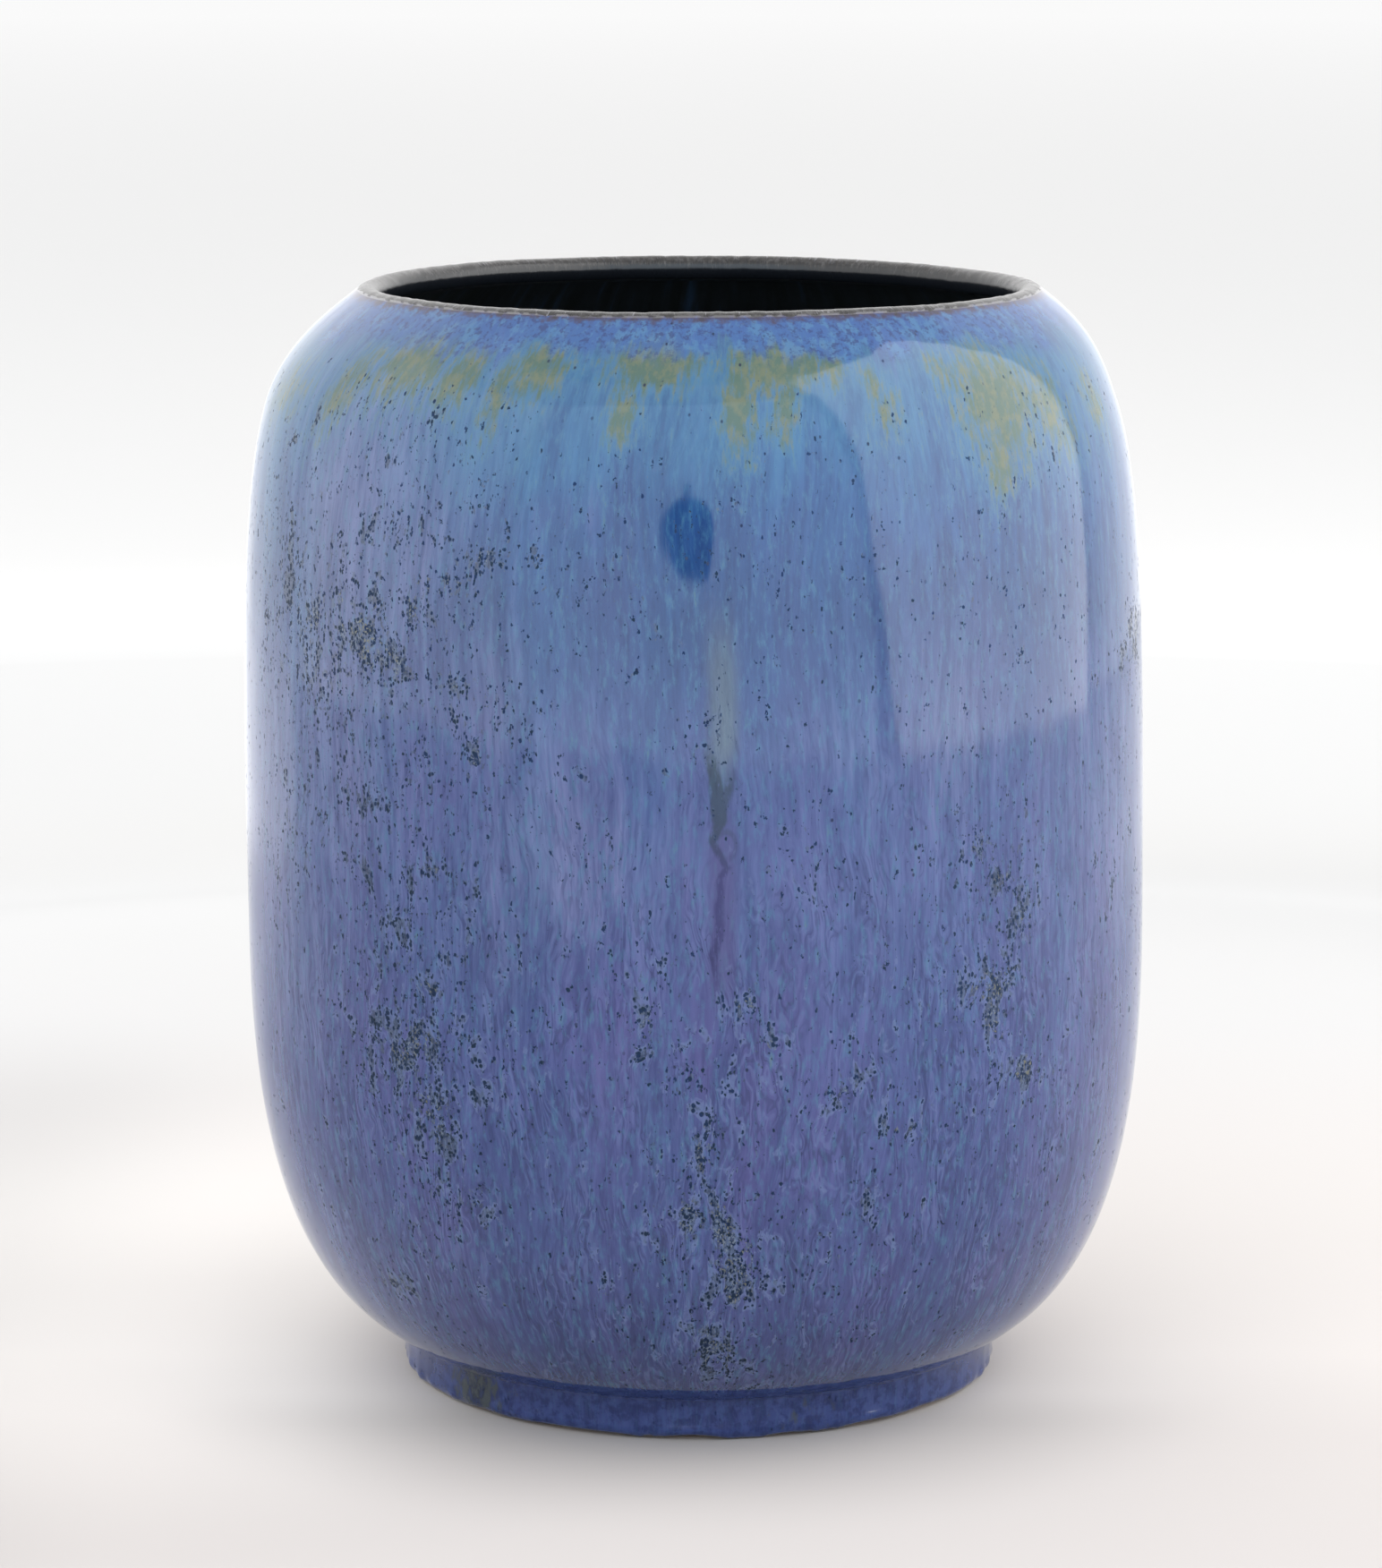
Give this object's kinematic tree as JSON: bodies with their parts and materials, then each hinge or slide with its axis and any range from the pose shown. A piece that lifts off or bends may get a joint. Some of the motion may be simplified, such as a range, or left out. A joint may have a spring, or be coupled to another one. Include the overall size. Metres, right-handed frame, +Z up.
{
  "type": "stoneware vase",
  "caption": "Round-shouldered wheel-thrown stoneware vase with a wide mouth, a turned foot ring and a flowing blue glaze; holds water and flowers.",
  "frame": {"origin": "on the vase's axis, at the flat bottom of the foot ring", "axes": "+Z up along the axis, out of the mouth; +X to the right and -Y towards a viewer who faces the run in the glaze"},
  "size_m": [0.1636, 0.1636, 0.2],
  "materials": {
    "bare_stoneware": "unglazed fired stoneware, toasted brown, matt",
    "dark_base_glaze": "thin iron-brown glaze, satin gloss",
    "flowing_blue_glaze": "opalescent blue glaze with fine runs and dark specks, glossy",
    "black_lining_glaze": "near-black lining glaze, glossy",
    "brown_wash_glaze": "thin dark brown wash, satin"
  },
  "bodies": {
    "root": {"clay_body": "bare_stoneware", "base_glaze": "dark_base_glaze", "blue_glaze": "flowing_blue_glaze", "lining_glaze": "black_lining_glaze", "recess_glaze": "brown_wash_glaze"}
  },
  "joints": []
}
